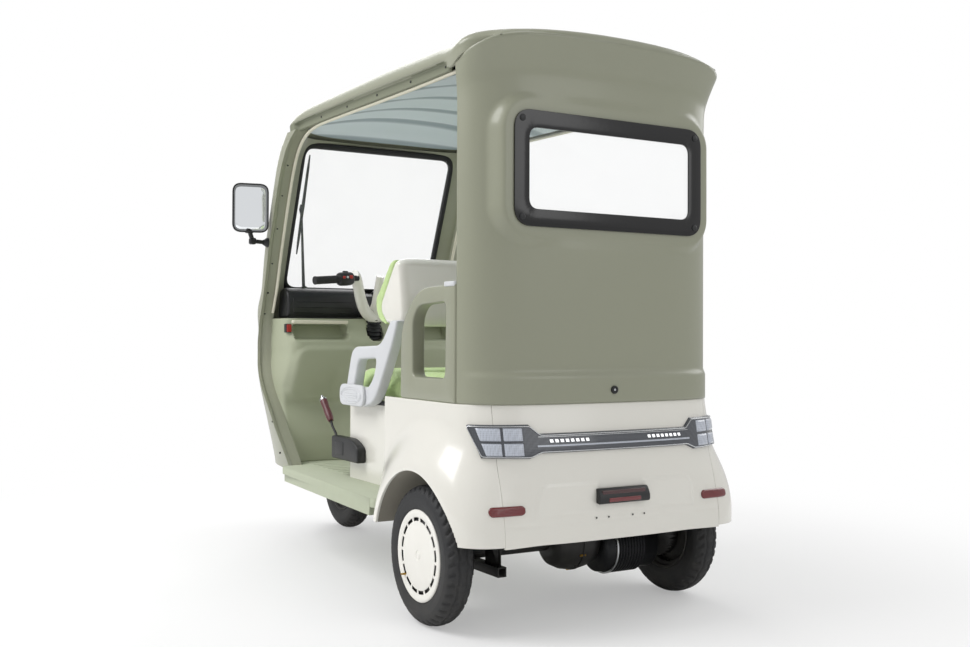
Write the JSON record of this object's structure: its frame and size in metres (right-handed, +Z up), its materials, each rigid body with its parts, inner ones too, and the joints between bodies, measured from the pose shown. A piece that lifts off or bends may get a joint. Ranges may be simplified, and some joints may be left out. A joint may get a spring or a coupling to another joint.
{
  "type": "auto rickshaw",
  "caption": "Small electric cabin tricycle with open sides, rear window wall, steered front wheel and driven rear axle.",
  "frame": {"origin": "on the ground below the middle of the overall length and width", "axes": "+X to the vehicle's left, +Y to its rear, +Z up; its front looks along -Y"},
  "size_m": [1.2756, 2.3348, 1.847],
  "materials": {
    "battery": "case",
    "black_gloss": "gloss black",
    "black_plastic": "grained black",
    "black_steel": "black paint",
    "ceiling": "satin sheet",
    "cream": "gloss moulding",
    "grey_alloy": "cast",
    "lamp_clear": "clear lens",
    "lamp_dark": "smoked bar",
    "lamp_red": "red lens",
    "mirror": "polished",
    "rim": "dark paint",
    "sage": "gloss paint",
    "sage_light": "satin moulding",
    "seat_green": "soft grained cover",
    "tyre": "tread rubber",
    "white_plastic": "gloss moulding",
    "window": "clear"
  },
  "bodies": {
    "chassis": {"chassis_frame": "black_steel", "floor_pan": "sage_light", "leg_shield": "sage", "front_panel": "sage", "roof_panel": "sage", "roof_lining": "ceiling", "rear_panel": "sage", "quarter_panels": "sage", "rear_fenders": "cream", "rear_skirt": "cream", "arch_liners": "black_plastic", "seat_base": "cream", "battery_pack": "battery", "seat_cushions": "seat_green", "seat_backrest": "cream", "backrest_pad": "seat_green", "handrails": "white_plastic", "hand_brake": "black_plastic", "dashboard": "black_plastic", "windscreen_glass": "window", "windscreen_gasket": "black_plastic", "rear_window_frame": "black_gloss", "rear_window_glass": "window", "door_trims": "cream", "mirror_housings": "black_gloss", "mirror_glasses": "mirror", "wiper": "black_plastic", "headlamps": "lamp_clear", "tail_light_bar": "lamp_dark", "tail_lamp_lenses": "lamp_clear", "plate_lamp": "black_plastic", "rear_reflectors": "lamp_red", "rear_axle": "black_steel", "drive_motor": "grey_alloy", "rear_springs": "black_steel"},
    "steering": {"front_fork": "black_steel", "handlebar": "black_plastic"},
    "front_wheel": {"front_tyre": "tyre", "front_rim": "rim"},
    "rear_left_wheel": {"rear_left_tyre": "tyre", "rear_left_rim": "rim", "rear_left_cap": "cream"},
    "rear_right_wheel": {"rear_right_tyre": "tyre", "rear_right_rim": "rim", "rear_right_cap": "cream"}
  },
  "joints": [
    {"name": "steering_turn", "type": "hinge", "parent": "chassis", "child": "steering", "pos_m": [0, -0.93, 0.215], "axis": [0, 0.342, 0.9397], "range_deg": [-35, 35]},
    {"name": "front_wheel_roll", "type": "hinge", "parent": "steering", "child": "front_wheel", "pos_m": [0, -0.93, 0.215], "axis": [1, 0, 0], "continuous": true},
    {"name": "rear_left_wheel_roll", "type": "hinge", "parent": "chassis", "child": "rear_left_wheel", "pos_m": [0.4745, 0.805, 0.215], "axis": [1, 0, 0], "continuous": true},
    {"name": "rear_right_wheel_roll", "type": "hinge", "parent": "chassis", "child": "rear_right_wheel", "pos_m": [-0.4745, 0.805, 0.215], "axis": [1, 0, 0], "continuous": true}
  ]
}
